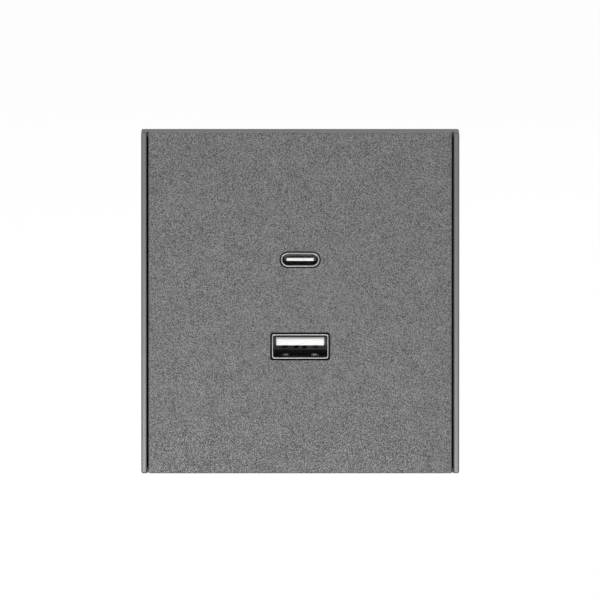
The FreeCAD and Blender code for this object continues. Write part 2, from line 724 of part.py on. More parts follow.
def usb_a_insulator():
    """The white insulator of the wide outlet: its base, and the tongue with four contact grooves."""
    body = new_body("usb_a_insulator")
    base = new_sketch(body, "base", FRONT, PORT_BOARD_FRONT)
    inset = "2 * (wide_shell_wall + insulator_gap)"
    add_round_box(base, f"(wide_shell_width - {inset})", f"(wide_shell_height - {inset})",
                  "(wide_shell_corner - wide_shell_wall)", up=WIDE_UP)
    pad(body, base, "insulator_base")
    tongue = new_sketch(body, "tongue", FRONT, f"{PORT_BOARD_FRONT} + insulator_base / 2")
    low = f"({WIDE_UP} + wide_tongue_bottom)"
    high = f"({low} + wide_tongue_thickness)"
    add_box(tongue, "-wide_tongue_width / 2", low, "wide_tongue_width / 2", high)
    pad(body, tongue, "shell_length - insulator_base / 2 - wide_tongue_recess")
    front = "(front_depth - wide_tongue_recess)"
    soften(body, "Chamfer", "wide_tongue_bevel",
           lambda edge: at_level(edge, front) and edge.BoundBox.ZMin > value(high) - TOUCH)
    grooves = new_sketch(body, "grooves", FRONT, f"{front} - wide_groove_bridge")
    for middle in WIDE_CONTACTS:
        half = "(wide_contact_width / 2 + wide_groove_gap)"
        add_box(grooves, f"{middle} - {half}", f"{low} - wide_groove_gap",
                f"{middle} + {half}", f"{low} + wide_groove_depth")
    cut(body, grooves, "shell_length - wide_tongue_recess - wide_groove_bridge")


def usb_a_contacts():
    """The four contacts of the wide outlet, which lie in the grooves and bow below the tongue."""
    body = new_body("usb_a_contacts")
    under = f"({WIDE_UP} + wide_tongue_bottom + wide_groove_depth - wide_contact_sheet - wide_groove_gap)"
    bow = f"({under} - wide_contact_bump)"
    rear = "(shell_length - front_depth)"
    start = f"({rear} - insulator_base)"
    front = "(wide_tongue_recess + wide_contact_inset - front_depth)"
    bend = f"({front} + wide_contact_rise)"
    line = [(rear, under), (start, under), (f"{bend} + wide_contact_width / 2", bow),
            (f"{bend} - wide_contact_width / 2", bow), (front, under)]
    back = [(along, f"{up} + wide_contact_sheet") for along, up in reversed(line)]
    for number, middle in enumerate(WIDE_CONTACTS):
        add_side_piece(body, f"strip_{number}", line + back, middle, "wide_contact_width")


def usb_c_shell():
    """The drawn steel shell of the small outlet."""
    body = new_body("usb_c_shell")
    tube = new_sketch(body, "tube", FRONT, PORT_BOARD_FRONT)
    add_obround(tube, "small_shell_width", "small_shell_height", up=SMALL_UP)
    add_obround(tube, "(small_shell_width - 2 * small_shell_wall)",
                "(small_shell_height - 2 * small_shell_wall)", up=SMALL_UP)
    pad(body, tube, "shell_length")


def usb_c_insulator():
    """The insulator of the small outlet: base, thick root and the thin tongue in the middle."""
    body = new_body("usb_c_insulator")
    base = new_sketch(body, "base", FRONT, PORT_BOARD_FRONT)
    inset = "2 * (small_shell_wall + insulator_gap)"
    add_obround(base, f"(small_shell_width - {inset})", f"(small_shell_height - {inset})", up=SMALL_UP)
    pad(body, base, "insulator_base")
    root = new_sketch(body, "root", FRONT, f"{PORT_BOARD_FRONT} + insulator_base / 2")
    add_middle_box(root, "small_root_width", "small_root_thickness", up=SMALL_UP)
    pad(body, root, "insulator_base / 2 + small_root_length")
    tongue = new_sketch(body, "tongue", FRONT, f"{PORT_BOARD_FRONT} + insulator_base / 2")
    add_round_box(tongue, "small_tongue_width", "small_tongue_thickness", "small_tongue_corner",
                  up=SMALL_UP)
    pad(body, tongue, "shell_length - insulator_base / 2 - small_tongue_recess")


def usb_c_contacts():
    """Two rows of twelve contacts on the faces of the small tongue."""
    body = new_body("usb_c_contacts")
    start = f"({PORT_BOARD_FRONT} + insulator_base + small_root_length)"
    pair = new_sketch(body, "pair", FRONT, start)
    first = f"-small_contact_pitch * {(SMALL_CONTACTS - 1) / 2}"
    for side in (-1, 1):
        add_middle_box(pair, "small_contact_width", "small_contact_height", first,
                       f"{SMALL_UP} + {side} * (small_tongue_thickness + small_contact_height) / 2")
    strip = pad(body, pair, "small_contact_length")
    row = body.newObject("PartDesign::LinearPattern", "usb_c_contacts_row")
    row.Originals = [strip]
    row.Direction = (pair, ["H_Axis"])
    row.Occurrences = SMALL_CONTACTS
    tie(row, "Length", f"small_contact_pitch * {SMALL_CONTACTS - 1}")
    body.Tip = row


def port_board():
    """The board behind the cover that both outlets stand on, held by the two screws."""
    body = new_body("port_board")
    board = new_sketch(body, "board", FRONT, PORT_BOARD_BACK)
    add_cut_square(board, BOARD_FLAT, BOARD_EDGE)
    add_screw_circles(board, "(screw_diameter / 2 + screw_hole_clearance)")
    pad(body, board, "board_thickness")


def power_board():
    """The mains board deep in the housing, cut away round the bosses."""
    body = new_body("power_board")
    board = new_sketch(body, "board", FRONT, POWER_BOARD_BACK)
    add_cut_square(board, BOARD_FLAT, BOARD_EDGE)
    pad(body, board, "board_thickness")
    notches = new_sketch(body, "notches", FRONT, POWER_BOARD_FRONT)
    add_screw_circles(notches, "(boss_diameter / 2 + board_gap)")
    cut(body, notches, "board_thickness")


def board_link():
    """Four pins in a plastic base that carry the output from one board to the other."""
    base = new_body("link_base")
    block = new_sketch(base, "block", FRONT, POWER_BOARD_FRONT)
    add_middle_box(block, "link_pin_pitch", f"{LINK_PINS} * link_pin_pitch", "link_pin_across",
                   "link_pin_up")
    pad(base, block, "link_base_height")
    bores = new_sketch(base, "bores", FRONT, f"{POWER_BOARD_FRONT} + link_base_height")
    pins = new_body("link_pins")
    rods = new_sketch(pins, "rods", FRONT, POWER_BOARD_FRONT)
    for number in range(LINK_PINS):
        up = f"link_pin_up + link_pin_pitch * {number - (LINK_PINS - 1) / 2}"
        add_middle_box(bores, "link_pin + 2 * link_pin_gap", "link_pin + 2 * link_pin_gap",
                       "link_pin_across", up)
        add_middle_box(rods, "link_pin", "link_pin", "link_pin_across", up)
    cut(base, bores, "link_base_height")
    pad(pins, rods, "board_spacing")


def transformer():
    """The flyback transformer on the mains board: ferrite core, bobbin and winding."""
    middle = f"({POWER_BOARD_FRONT} + {TRANSFORMER_LIFT})"
    at_core = f"({middle} - core_thickness / 2)"
    leg_gap = "(core_leg + 2 * core_gap)"
    window_length = "(core_length - 2 * core_side)"
    window_width = "(core_width / 2 - core_side - core_leg / 2)"

    core = new_body("transformer_core")
    plan = new_sketch(core, "plan", FRONT, at_core)
    add_middle_box(plan, "core_length", "core_width", "transformer_across", "transformer_up")
    for side in (-1, 1):
        add_middle_box(plan, window_length, window_width, "transformer_across",
                       f"transformer_up + {side} * (core_leg + {window_width}) / 2")
    pad(core, plan, "core_thickness")

    barrel_height = "(core_thickness + 2 * core_gap + 2 * bobbin_wall)"
    barrel_width = f"({leg_gap} + 2 * bobbin_wall)"
    barrel_length = f"({window_length} - 2 * core_gap)"
    flange_width = "(core_width - 2 * core_side - 2 * core_gap)"
    bobbin = new_body("transformer_bobbin")
    barrel = new_sketch(bobbin, "barrel", SIDE, f"transformer_across - {barrel_length} / 2")
    add_middle_box(barrel, barrel_height, barrel_width, f"-{middle}", "transformer_up")
    pad(bobbin, barrel, barrel_length)
    for side in (-1, 1):
        inner = f"{side} * ({barrel_length} / 2 - bobbin_wall / 2) - bobbin_wall / 2"
        flange = new_sketch(bobbin, f"flange_{side + 1}", SIDE, f"transformer_across + {inner}")
        add_middle_box(flange, "bobbin_flange_height", flange_width, f"-{middle}", "transformer_up")
        pad(bobbin, flange, "bobbin_wall")
    rails = new_sketch(bobbin, "rails", FRONT, POWER_BOARD_FRONT)
    rail_reach = f"({barrel_length} / 2 - bobbin_wall + bobbin_rail / 2)"
    for side in (-1, 1):
        add_middle_box(rails, "bobbin_rail", flange_width, f"transformer_across + {side} * {rail_reach}",
                       "transformer_up")
    pad(bobbin, rails, f"{TRANSFORMER_LIFT} - core_thickness / 2 - core_gap")
    channel = new_sketch(bobbin, "channel", SIDE, "transformer_across - core_length / 2 - bobbin_rail")
    add_middle_box(channel, "(core_thickness + 2 * core_gap)", leg_gap, f"-{middle}", "transformer_up")
    cut(bobbin, channel, "core_length + 2 * bobbin_rail", forward=True)

    winding = new_body("transformer_winding")
    length = f"({barrel_length} - 2 * bobbin_wall - 2 * core_gap)"
    coil = new_sketch(winding, "coil", SIDE, f"transformer_across - {length} / 2")
    add_round_box(coil, f"({barrel_height} + 2 * winding_depth)", f"({barrel_width} + 2 * winding_depth)",
                  "(winding_depth / 2)", f"-{middle}", "transformer_up")
    add_middle_box(coil, barrel_height, barrel_width, f"-{middle}", "transformer_up")
    pad(winding, coil, length)


def can(name, radius, length, across, up, base, facing):
    """A standing electrolytic capacitor."""
    body = new_body(name)
    profile = new_sketch(body, "profile", ABOVE)
    steps = [("0", "0"), (radius, "0"), (radius, length), ("0", length)]
    add_loop(profile, [(along, f"-({base}) - {facing} * ({high})") for along, high in steps])
    turn(body, profile)
    tie(body, "Placement.Base.x", across)
    tie(body, "Placement.Base.z", up)


def capacitors():
    """Two output cans between the boards and two input cans behind the mains board."""
    for number in range(2):
        can(f"output_capacitor_{number + 1}", "(output_can_diameter / 2)", "(board_spacing - output_can_gap)",
            f"output_can_across + {number} * output_can_step",
            f"output_can_up - {number} * output_can_step", POWER_BOARD_FRONT, 1)
    for number, side in enumerate((-1, 1)):
        can(f"input_capacitor_{number + 1}", "(input_can_diameter / 2)",
            "(terminal_depth - housing_wall - input_can_gap)", f"{side} * input_can_across", "input_can_up",
            POWER_BOARD_BACK, -1)
    film = new_body("film_capacitor")
    box = new_sketch(film, "box", FRONT, f"{HOUSING_FLOOR} + film_capacitor_gap")
    add_middle_box(box, "film_capacitor_width", "film_capacitor_height", up="film_capacitor_up")
    pad(film, box, "terminal_depth - housing_wall - film_capacitor_gap")


def disc(name, diameter, thickness, across, up, facing):
    """A disc that stands on its rim on the mains board."""
    body = new_body(name)
    rim = new_sketch(body, "rim", ABOVE, f"-{thickness} / 2")
    add_circle(rim, f"{diameter} / 2")
    pad(body, rim, thickness)
    board = POWER_BOARD_FRONT if facing > 0 else POWER_BOARD_BACK
    tie(body, "Placement.Base.x", across)
    tie(body, "Placement.Base.y", f"-({board} + {facing} * {diameter} / 2)")
    tie(body, "Placement.Base.z", up)


def choke():
    """The input choke: a ferrite spool with square flanges, and its wire."""
    top = f"({PORT_BOARD_BACK} - choke_gap)"
    spool = new_body("choke_core")
    waist = new_sketch(spool, "waist", FRONT, POWER_BOARD_FRONT)
    add_circle(waist, "choke_waist / 2", "choke_across", "choke_up")
    pad(spool, waist, f"{top} - {POWER_BOARD_FRONT}")
    for end, level in (("foot", POWER_BOARD_FRONT), ("head", f"{top} - choke_flange")):
        flange = new_sketch(spool, end, FRONT, level)
        add_middle_box(flange, "choke_width", "choke_width", "choke_across", "choke_up")
        pad(spool, flange, "choke_flange")
    wire = new_body("choke_winding")
    layer = new_sketch(wire, "layer", FRONT, f"{POWER_BOARD_FRONT} + choke_flange")
    add_circle(layer, "(choke_width - choke_wire_gap) / 2", "choke_across", "choke_up")
    add_circle(layer, "choke_waist / 2", "choke_across", "choke_up")
    pad(wire, layer, f"{top} - {POWER_BOARD_FRONT} - 2 * choke_flange")


def fuse():
    """The ceramic fuse that lies on the back of the mains board, with its two metal caps."""
    body = new_body("fuse")
    profile = new_sketch(body, "profile", FRONT)
    half, radius = "(fuse_length / 2)", "(fuse_diameter / 2)"
    add_loop(profile, [
        ("0", f"-{half}"), (radius, f"-{half}"), (radius, f"fuse_cap - {half}"),
        (f"{radius} - fuse_neck", f"fuse_cap - {half}"), (f"{radius} - fuse_neck", f"{half} - fuse_cap"),
        (radius, f"{half} - fuse_cap"), (radius, half), ("0", half),
    ])
    turn(body, profile)
    tie(body, "Placement.Base.x", "fuse_across")
    tie(body, "Placement.Base.y", f"fuse_diameter / 2 - {POWER_BOARD_BACK}")
    tie(body, "Placement.Base.z", "fuse_up")


def chip(name, across, up, size, board, facing, legs, pitch):
    """A moulded chip on one face of a board, with bent legs down both sides."""
    width, height, thickness = size
    body = new_body(name)
    foot = board if facing > 0 else f"({board} - {thickness})"
    case = new_sketch(body, "case", FRONT, foot)
    add_middle_box(case, width, height, across, up)
    pad(body, case, thickness)
    middle, knee = f"{thickness} / 2", "chip_leg_reach / 2"
    near, far = f"({knee} - chip_leg_sheet / 2)", f"({knee} + chip_leg_sheet / 2)"
    low, high = f"({middle} - chip_leg_sheet / 2)", f"({middle} + chip_leg_sheet / 2)"
    outline = [
        ("-chip_leg_sheet", high), (far, high), (far, "chip_leg_sheet"),
        ("chip_leg_reach", "chip_leg_sheet"), ("chip_leg_reach", "0"), (near, "0"),
        (near, low), ("-chip_leg_sheet", low),
    ]
    for number in range(legs):
        shift = number - (legs - 1) / 2
        row = new_sketch(body, f"legs_{number}", ABOVE, f"{up} + {pitch} * {shift} - chip_leg_width / 2")
        for side in (-1, 1):
            edge = f"({across} + {side} * {width} / 2)"
            add_loop(row, [
                (f"{edge} + {side} * {out}", f"-{board} - {facing} * {lift}") for out, lift in outline
            ])
        pad(body, row, "chip_leg_width")


def chips():
    """The chips of both boards."""
    small, fine = ("chip_width", "chip_height", "chip_thickness"), (CHIP_LEGS, "chip_leg_pitch")
    chip("switch_chip", "switch_chip_across", "switch_chip_up", small, POWER_BOARD_BACK, -1, *fine)
    chip("outlet_chip_upper", "0", "outlet_chip_up", small, PORT_BOARD_BACK, -1, *fine)
    chip("outlet_chip_lower", "0", "-outlet_chip_up", small, PORT_BOARD_BACK, -1, *fine)
    wide = (WIDE_LEGS, "wide_leg_pitch")
    bridge = ("rectifier_width", "rectifier_height", "rectifier_thickness")
    chip("bridge_rectifier", "rectifier_across", "rectifier_up", bridge, POWER_BOARD_BACK, -1, *wide)
    coupler = ("optocoupler_width", "optocoupler_height", "optocoupler_thickness")
    chip("optocoupler", "optocoupler_across", "optocoupler_up", coupler, POWER_BOARD_FRONT, 1, *wide)


def terminal_block():
    """The moulded block behind the mains board, with one chamber for each pole."""
    body = new_body("terminal_block")
    block = new_sketch(body, "block", FRONT, TERMINAL_SPLIT)
    add_middle_box(block, "terminal_width", "terminal_height", up="-terminal_drop")
    pad(body, block, f"{POWER_BOARD_BACK} - {TERMINAL_SPLIT}")
    chambers = new_sketch(body, "chambers", FRONT, TERMINAL_SPLIT)
    leg_holes = new_sketch(body, "leg_holes", FRONT, POWER_BOARD_BACK)
    for side in (-1, 1):
        pole = f"{side} * pole_across"
        add_middle_box(chambers, "chamber_width", "terminal_height - 2 * terminal_wall", pole,
                       "-terminal_drop")
        add_box(leg_holes, f"{pole} - busbar_leg / 2 - leg_hole_gap", f"{CHAMBER_FLOOR} - leg_hole_gap",
                f"{pole} + busbar_leg / 2 + leg_hole_gap", f"{BUSBAR_TOP} + leg_hole_gap")
    cut(body, chambers, f"{CHAMBER_END} - {TERMINAL_SPLIT}", forward=True)
    cut(body, leg_holes, "terminal_wall")


def terminal_lid():
    """The lid of the terminals: four wire entries and a slot for each release button."""
    body = new_body("terminal_lid")
    plate = new_sketch(body, "plate", FRONT, HOUSING_REAR)
    add_middle_box(plate, "terminal_width", "terminal_height", up="-terminal_drop")
    pad(body, plate, "terminal_lid")
    entries = new_sketch(body, "entries", FRONT, HOUSING_REAR)
    slots = new_sketch(body, "slots", FRONT, HOUSING_REAR)
    for side in (-1, 1):
        pole = f"{side} * pole_across"
        add_box(slots, f"{pole} - button_slot_width / 2", BUTTON_BOTTOM,
                f"{pole} + button_slot_width / 2", BUTTON_TOP)
        for half in (-1, 1):
            add_circle(entries, "wire_hole / 2", f"{pole} + {half} * wire_spacing / 2", WIRE_UP)
    cut(body, entries, "terminal_lid", forward=True)
    soften(body, "Chamfer", "wire_funnel",
           lambda edge: at_level(edge, HOUSING_REAR) and isinstance(edge.Curve, Part.Circle))
    cut(body, slots, "terminal_lid", forward=True)


def pole(name, side):
    """What works in one chamber: the busbar, the leaf clip and the release button."""
    middle = f"{side} * pole_across"
    busbar = new_body(f"busbar_{name}")
    strip = new_sketch(busbar, "strip", FRONT, f"{TERMINAL_SPLIT} + busbar_gap")
    add_box(strip, f"{middle} - chamber_width / 2 + busbar_gap", CHAMBER_FLOOR,
            f"{middle} + chamber_width / 2 - busbar_gap", BUSBAR_TOP)
    pad(busbar, strip, f"{CHAMBER_END} - {TERMINAL_SPLIT} - busbar_gap")
    leg = new_sketch(busbar, "leg", FRONT, f"{CHAMBER_END} - busbar_sheet")
    add_box(leg, f"{middle} - busbar_leg / 2", CHAMBER_FLOOR, f"{middle} + busbar_leg / 2", BUSBAR_TOP)
    pad(busbar, leg, "terminal_wall + busbar_sheet")

    along = f"(leaf_start + leaf_base - {CHAMBER_END})"
    up = f"({CHAMBER_ROOF} - leaf_sheet / 2 - leaf_bend)"
    outer, inner = "(leaf_bend + leaf_sheet / 2)", "(leaf_bend - leaf_sheet / 2)"
    outer_along, outer_up = f"({along} + {outer} * sin(leaf_angle))", f"({up} - {outer} * cos(leaf_angle))"
    inner_along, inner_up = f"({along} + {inner} * sin(leaf_angle))", f"({up} - {inner} * cos(leaf_angle))"
    fall = f"({outer_up} - {BUSBAR_TOP} - leaf_tip_gap)"
    run = f"({fall} / tan(leaf_angle))"
    clip = new_body(f"clip_{name}")
    add_side_piece(clip, "leaf", [
        (f"leaf_start - {CHAMBER_END}", f"{up} + {inner}"),
        (f"leaf_start - {CHAMBER_END}", f"{up} + {outer}"),
        (along, f"{up} + {outer}", along, up, True),
        (outer_along, outer_up),
        (f"{outer_along} - {run}", f"{outer_up} - {fall}"),
        (f"{inner_along} - {run}", f"{inner_up} - {fall}"),
        (inner_along, inner_up, along, up),
        (along, f"{up} + {inner}"),
    ], middle, "leaf_width")

    button = new_body(f"release_button_{name}")
    rear = f"({HOUSING_REAR} - button_proud)"
    stem_top = f"({BUTTON_TOP} - button_gap)"
    leaf_there = f"({outer_along} - ({outer_up} - {stem_top}) / tan(leaf_angle))"
    stem = new_sketch(button, "stem", FRONT, rear)
    add_box(stem, f"{middle} - button_slot_width / 2 + button_gap", f"{BUTTON_BOTTOM} + button_gap",
            f"{middle} + button_slot_width / 2 - button_gap", stem_top)
    pad(button, stem, f"-{leaf_there} - button_leaf_gap - {rear}")
    flange = new_sketch(button, "flange", FRONT, f"{TERMINAL_SPLIT} + button_gap")
    add_box(flange, f"{middle} - button_flange / 2", f"{BUTTON_BOTTOM} + button_gap",
            f"{middle} + button_flange / 2", stem_top)
    pad(button, flange, "button_flange_thickness")
    notch = new_sketch(button, "notch", FRONT, rear)
    add_middle_box(notch, "button_notch_width", "button_notch_height", middle,
                   f"({BUTTON_BOTTOM} + {BUTTON_TOP}) / 2")
    cut(button, notch, "button_notch_depth", forward=True)


def check_document():
    """Stop if any feature failed or any piece is empty or broken."""
    doc.recompute()
    failed = [item.Name for item in doc.Objects if {"Invalid", "Error"} & set(item.State)]
    if failed:
        raise RuntimeError(f"these features failed: {failed}")
    for body in doc.findObjects("PartDesign::Body"):
        if body.Shape.isNull() or not body.Shape.isValid() or not body.Shape.Solids:
            raise RuntimeError(f"{body.Label} has no sound solid")


def main():
    front_plate()
    flank_frame()
    support_bracket()
    insert_cover()
    cover_screws()
    rear_housing()
    usb_a_shell()
    usb_a_insulator()
    usb_a_contacts()
    usb_c_shell()
    usb_c_insulator()
    usb_c_contacts()
    port_board()
    power_board()
    board_link()
    transformer()
    capacitors()
    disc("safety_capacitor", "disc_diameter", "disc_thickness", "disc_across", "disc_up", 1)
    disc("varistor", "varistor_diameter", "varistor_thickness", "varistor_across", "varistor_up", -1)
    choke()
    fuse()
    chips()
    terminal_block()
    terminal_lid()
    pole("live", -1)
    pole("neutral", 1)
    check_document()
    os.makedirs("parts", exist_ok=True)
    for body in doc.findObjects("PartDesign::Body"):
        shape = body.Shape
        print(f"{body.Label}: {len(shape.Solids)} solids, {shape.Volume:.1f} mm3")
        shape.exportStep(f"parts/{body.Label}.step")


main()
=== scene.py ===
"""The looks of a wall charger insert with two outlets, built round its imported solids."""

import math

import bmesh
import bpy
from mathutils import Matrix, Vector


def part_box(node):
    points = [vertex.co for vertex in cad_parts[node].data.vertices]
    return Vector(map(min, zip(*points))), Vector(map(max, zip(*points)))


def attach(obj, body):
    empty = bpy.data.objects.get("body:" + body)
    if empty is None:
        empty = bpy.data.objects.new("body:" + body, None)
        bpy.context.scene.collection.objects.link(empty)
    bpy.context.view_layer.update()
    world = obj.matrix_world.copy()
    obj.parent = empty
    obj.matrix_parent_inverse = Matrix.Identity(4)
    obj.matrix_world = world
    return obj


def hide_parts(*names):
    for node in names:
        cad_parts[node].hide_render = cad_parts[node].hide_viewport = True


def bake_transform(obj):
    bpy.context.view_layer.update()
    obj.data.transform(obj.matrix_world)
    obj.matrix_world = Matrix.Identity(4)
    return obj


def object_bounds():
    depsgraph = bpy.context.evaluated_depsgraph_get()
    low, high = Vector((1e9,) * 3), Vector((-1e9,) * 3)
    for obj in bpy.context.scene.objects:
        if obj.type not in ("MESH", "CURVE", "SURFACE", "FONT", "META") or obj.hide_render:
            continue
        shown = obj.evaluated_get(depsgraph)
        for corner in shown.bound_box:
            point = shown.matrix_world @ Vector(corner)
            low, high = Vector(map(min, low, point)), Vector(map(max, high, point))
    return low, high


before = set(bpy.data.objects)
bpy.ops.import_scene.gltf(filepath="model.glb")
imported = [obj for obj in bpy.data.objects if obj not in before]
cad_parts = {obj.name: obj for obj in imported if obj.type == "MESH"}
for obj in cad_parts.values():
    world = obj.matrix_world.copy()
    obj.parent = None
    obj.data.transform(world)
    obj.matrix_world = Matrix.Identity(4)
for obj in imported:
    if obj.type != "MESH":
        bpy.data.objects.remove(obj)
CAD_LOW, CAD_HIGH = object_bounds()

bl_info = {
    "name": "Wall charger insert",
    "version": (1, 0, 0),
    "blender": (4, 5, 0),
    "location": "3D View > Sidebar > Charger",
    "description": "Dresses the solids of a wall charger insert and lights them",
    "category": "Object",
}

MM = 0.001

# How the triangles of a solid are joined, rounded and shaded
MERGE = 0.002 * MM
SLIVER = 0.0005 * MM
FLAT_ANGLE = math.radians(0.6)
EDGE_ANGLE = math.radians(28)
SMOOTH_ANGLE = math.radians(50)
NORMAL_WEIGHT = 60
EDGE_STEPS = 2
RIM_STEPS = 3
FRONT_STEPS = 4

# Where the finishes change, in millimetres
FACE = CAD_LOW.y / MM
END = CAD_HIGH.z / MM
FLANK_WALL = (35.62, 35.7)
BETWEEN_OUTLETS = (-1.0, 1.0)
# Depth where painted shade darkens the wide outlet, and the height below which it turns to painted shadow
DARK_BASE = (-7.4, -4.6)
BASE_SHADE = (-11.9, -11.4)

# The painted highlights on the wide outlet's two spring fingers, in millimetres
FINGER_MIDDLE = 3.35
FINGER_SIDE = (0.9, 1.1)
FINGER_CORE = (0.2, 0.65)
BOW_FOOT = (-12.5, -12.3)
BOW_CROWN = (-11.9, -11.7)
BOW_START = (-8.3, -8.0)

# What is reshaped, in millimetres
LEAF_LEVELS = (-10.7, -11.2, -11.7, -12.2, -12.6, -13.0)
BOW_SHEET = 0.3
FRONT_EDGES = 0.3
INNER_SIDE = 0.9

# The lines that rolling leaves: across the insert, into its depth, or none
ROLLED_ACROSS = (14, 1, 1)
ROLLED_DEEP = (1, 14, 1)
UNROLLED = (1, 1, 1)

# Colours that the settings don't hold
WHITE = (1.0, 1.0, 1.0)
# Black of unpainted moulding, also used as painted shade in the slots and port holes
UNPAINTED_BLACK_AND_SHADE = (0.012, 0.012, 0.012)
# Painted shadow and painted shade deep in the wide outlet
INSULATOR_DEEP = (0.003, 0.003, 0.003)
INSULATOR_SHADED = (0.32, 0.32, 0.32)
HOUSING_BLACK = (0.018, 0.018, 0.018)
BRASS = (0.72, 0.56, 0.26)
SPRING_STEEL = (0.6, 0.6, 0.61)
SCREW_STEEL = (0.56, 0.56, 0.57)
BOARD_GREEN = (0.02, 0.16, 0.07)
CHIP_BLACK = (0.02, 0.02, 0.022)
COUPLER_CREAM = (0.75, 0.74, 0.7)
GOLD = (0.83, 0.62, 0.28)
FERRITE = (0.045, 0.045, 0.05)
TAPE_YELLOW = (0.78, 0.6, 0.08)
COPPER = (0.6, 0.25, 0.1)
SLEEVE_BLACK = (0.02, 0.02, 0.03)
DIP_BLUE = (0.05, 0.18, 0.5)
CASE_YELLOW = (0.75, 0.55, 0.08)
CERAMIC = (0.75, 0.7, 0.6)
FLOOR_TONES = (0.86, 0.86, 0.86), (0.9, 0.9, 0.9)

# The floor's place and glow, in metres
FLOOR_DROP = 110 * MM
FLOOR_RADIUS = 60.0
FLOOR_SIDES = 96
FLOOR_GLOW = 1.07
GLOW_SHARE = 0.88

# Each lamp's place, target, width and height in metres, and power in watts
LAMPS = {
    "front_softbox": ((-0.78, -0.75, 0.68), (0, 0, 0), (0.7, 0.5), 8.2),
    "right_softbox": ((1.0, -0.6, 0.4), (0, 0, 0), (0.6, 0.6), 0.5),
    "rear_softbox": ((0.7, 1.5, 0.9), (0, 0, 0), (1.0, 1.0), 8.0),
    "low_panel": ((-0.02, -0.25, -0.1), (-0.02, 0, -0.1), (0.17, 0.07), 0.36),
}

# The point of the front that the camera faces, in millimetres, and its range in metres
AIM_ACROSS = -0.05
AIM_UP = 0.72
CAMERA_RANGE = (0.05, 200.0)


# Shader maths

class Value:
    """A shader socket that takes part in Python's sums and products."""

    def __init__(self, tree, socket):
        self.tree = tree
        self.socket = socket

    def math(self, operation, *operands):
        """The result of one Math node."""
        node = self.tree.nodes.new("ShaderNodeMath")
        node.operation = operation
        for place, operand in zip(node.inputs, operands):
            feed(self.tree, place, operand)
        return Value(self.tree, node.outputs[0])

    def __add__(self, other):
        return self.math("ADD", self, other)

    __radd__ = __add__

    def __mul__(self, other):
        return self.math("MULTIPLY", self, other)

    __rmul__ = __mul__

    def __sub__(self, other):
        return self.math("SUBTRACT", self, other)

    def __rsub__(self, other):
        return self.math("SUBTRACT", other, self)

    def __abs__(self):
        return self.math("ABSOLUTE", self)

    def between(self, low, high):
        """0 below low, 1 above high, and a soft rise from one to the other."""
        node = self.tree.nodes.new("ShaderNodeMapRange")
        node.interpolation_type = "SMOOTHSTEP"
        for name, operand in (("Value", self), ("From Min", low), ("From Max", high)):
            feed(self.tree, node.inputs[name], operand)
        return Value(self.tree, node.outputs[0])


def feed(tree, place, operand):
    """Link a socket to an input, or set the input's own value."""
    if isinstance(operand, Value):
        tree.links.new(operand.socket, place)
    elif hasattr(operand, "__len__") and place.type == "RGBA":
        place.default_value = (*operand[:3], 1.0)
    else:
        place.default_value = operand


class Finish:
    """One material, with a Principled surface and the nodes that feed it."""

    def __init__(self, name, **sockets):
        self.material = bpy.data.materials.new(name)
        self.material.use_nodes = True
        self.tree = self.material.node_tree
        self.surface = self.tree.nodes["Principled BSDF"]
        self.output = self.tree.nodes["Material Output"]
        self.place = self.node("ShaderNodeTexCoord", output="Object")
        self.across, self.depth, self.up = (
            self.node("ShaderNodeSeparateXYZ", None, {0: self.place}, axis) * (1 / MM) for axis in range(3))
        for socket, number in sockets.items():
            self.set(socket.replace("_", " "), number)

    def node(self, kind, settings=None, inputs=None, output=0):
        """Add a node, set it up, feed it, and give one of its outputs."""
        node = self.tree.nodes.new(kind)
        for name, setting in (settings or {}).items():
            setattr(node, name, setting)
        for name, operand in (inputs or {}).items():
            feed(self.tree, node.inputs[name], operand)
        return Value(self.tree, node.outputs[output])

    def set(self, socket, operand):
        """Set or feed one socket of the surface."""
        feed(self.tree, self.surface.inputs[socket], operand)

    def noise(self, size, detail, stretch=(1, 1, 1)):
        """Noise whose features are about size millimetres, longer where stretch is larger."""
        place = self.node("ShaderNodeMapping", None,
                          {"Vector": self.place, "Scale": tuple(1 / part for part in stretch)})
        return self.node("ShaderNodeTexNoise", None,
                         {"Vector": place, "Scale": 1 / (size * MM), "Detail": detail})

    def shade(self, mask, low, high):
        """A colour between two colours."""
        return self.node("ShaderNodeMix", {"data_type": "RGBA"}, {0: mask, 6: low, 7: high}, output=2)

    def bump(self, height, depth, strength):
        """Feed a height, with a relief of depth millimetres, to the surface's normal."""
        normal = self.node("ShaderNodeBump", None,
                           {"Height": height, "Distance": depth * MM, "Strength": strength})
        self.set("Normal", normal)


def tone(colour, share):
    """A colour made darker or lighter by a share."""
    return tuple(min(1.0, part * share) for part in colour[:3])


def tones(colour, dark, light):
    """A colour's darker and lighter tone."""
    return tone(colour, dark), tone(colour, light)


def grained_paint(colour, grain, depth):
    """Anthracite paint with a fine, even grain, which stops just behind the front edges; behind them,
    unpainted black moulding also paints shade into the slots and port holes.
    """
    finish = Finish("grained_paint", IOR=1.45, Metallic=0.35)
    peaks = finish.noise(grain, detail=1.0).between(0.34, 0.66)
    clouds = finish.noise(4.5, detail=3.0).between(0.3, 0.7)
    painted = finish.shade(peaks * 0.93 + clouds * 0.07, *tones(colour, 0.22, 1.75))
    # Behind the front the plate turns black: unpainted moulding and painted shade in its slot edges and
    # port holes
    behind = finish.depth.between(FACE + 0.2, FACE + 0.5)
    unpainted_and_shaded = behind * (1 - abs(finish.up).between(END - 0.35, END - 0.15))
    finish.set("Base Color", finish.shade(unpainted_and_shaded, painted, UNPAINTED_BLACK_AND_SHADE))
    finish.set("Roughness", 0.72 - peaks * 0.22)
    finish.bump(peaks, depth, strength=0.8)
    return finish.material


